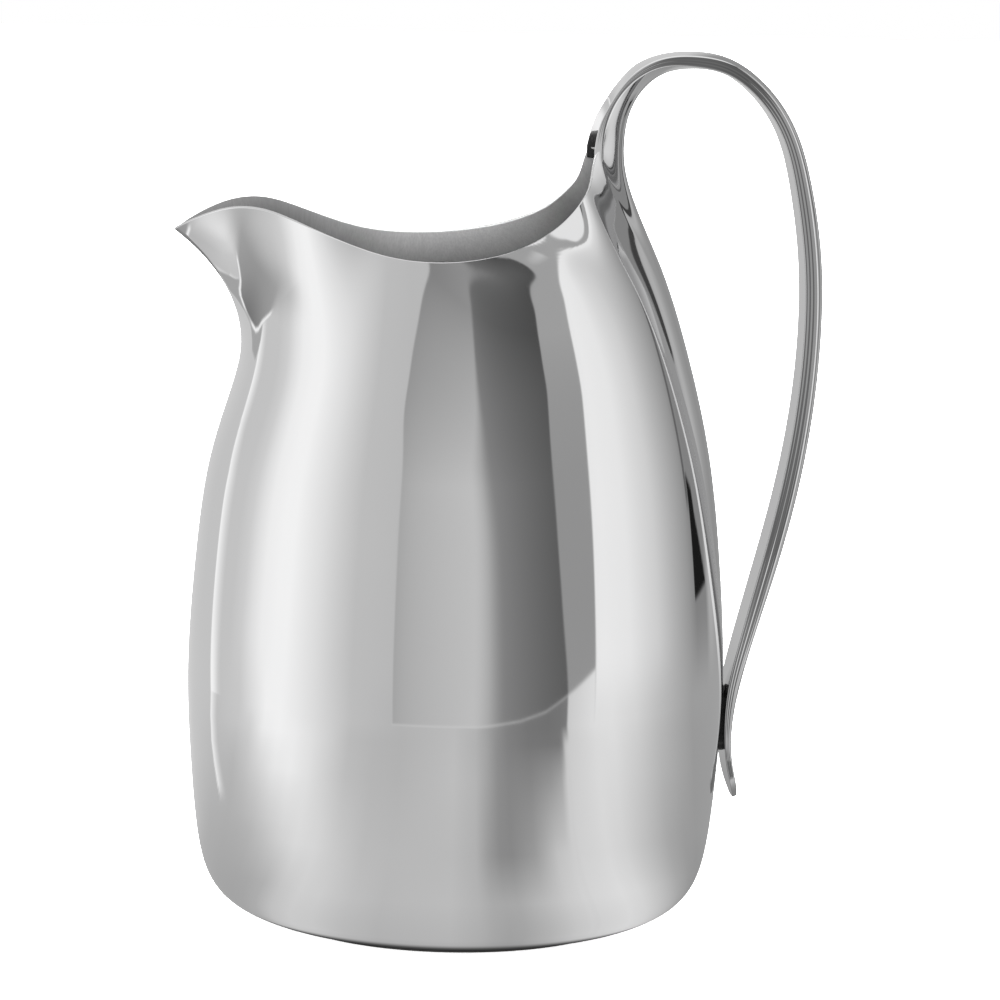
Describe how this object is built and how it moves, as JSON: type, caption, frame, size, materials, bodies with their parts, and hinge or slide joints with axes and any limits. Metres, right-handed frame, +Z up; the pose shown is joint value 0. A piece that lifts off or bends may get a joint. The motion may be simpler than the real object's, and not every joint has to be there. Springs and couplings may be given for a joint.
{
  "type": "water pitcher",
  "caption": "Round-bellied polished metal water pitcher with a beak spout, a saddle-shaped open rim and a slim looped bar handle that ends in a free tongue.",
  "frame": {"origin": "centre of the standing ring, on the surface that the pitcher stands on", "axes": "+Z up, spout towards -X, handle towards +X, symmetric about the XZ plane"},
  "size_m": [0.1615, 0.134, 0.218],
  "materials": {
    "polished_wall": "mirror polish on the outside of the sheet, fine satin brushing on the inside",
    "polished_bar": "mirror polish on solid bar",
    "satin_base": "polished standing ring, satin recess and satin inner bottom",
    "filler": "dressed filler at the base joint and the handle foot"
  },
  "bodies": {
    "root": {"body_shell": "polished_wall", "base_pan": "satin_base", "base_weld": "filler", "handle": "polished_bar", "handle_foot_braze": "filler"}
  },
  "joints": []
}
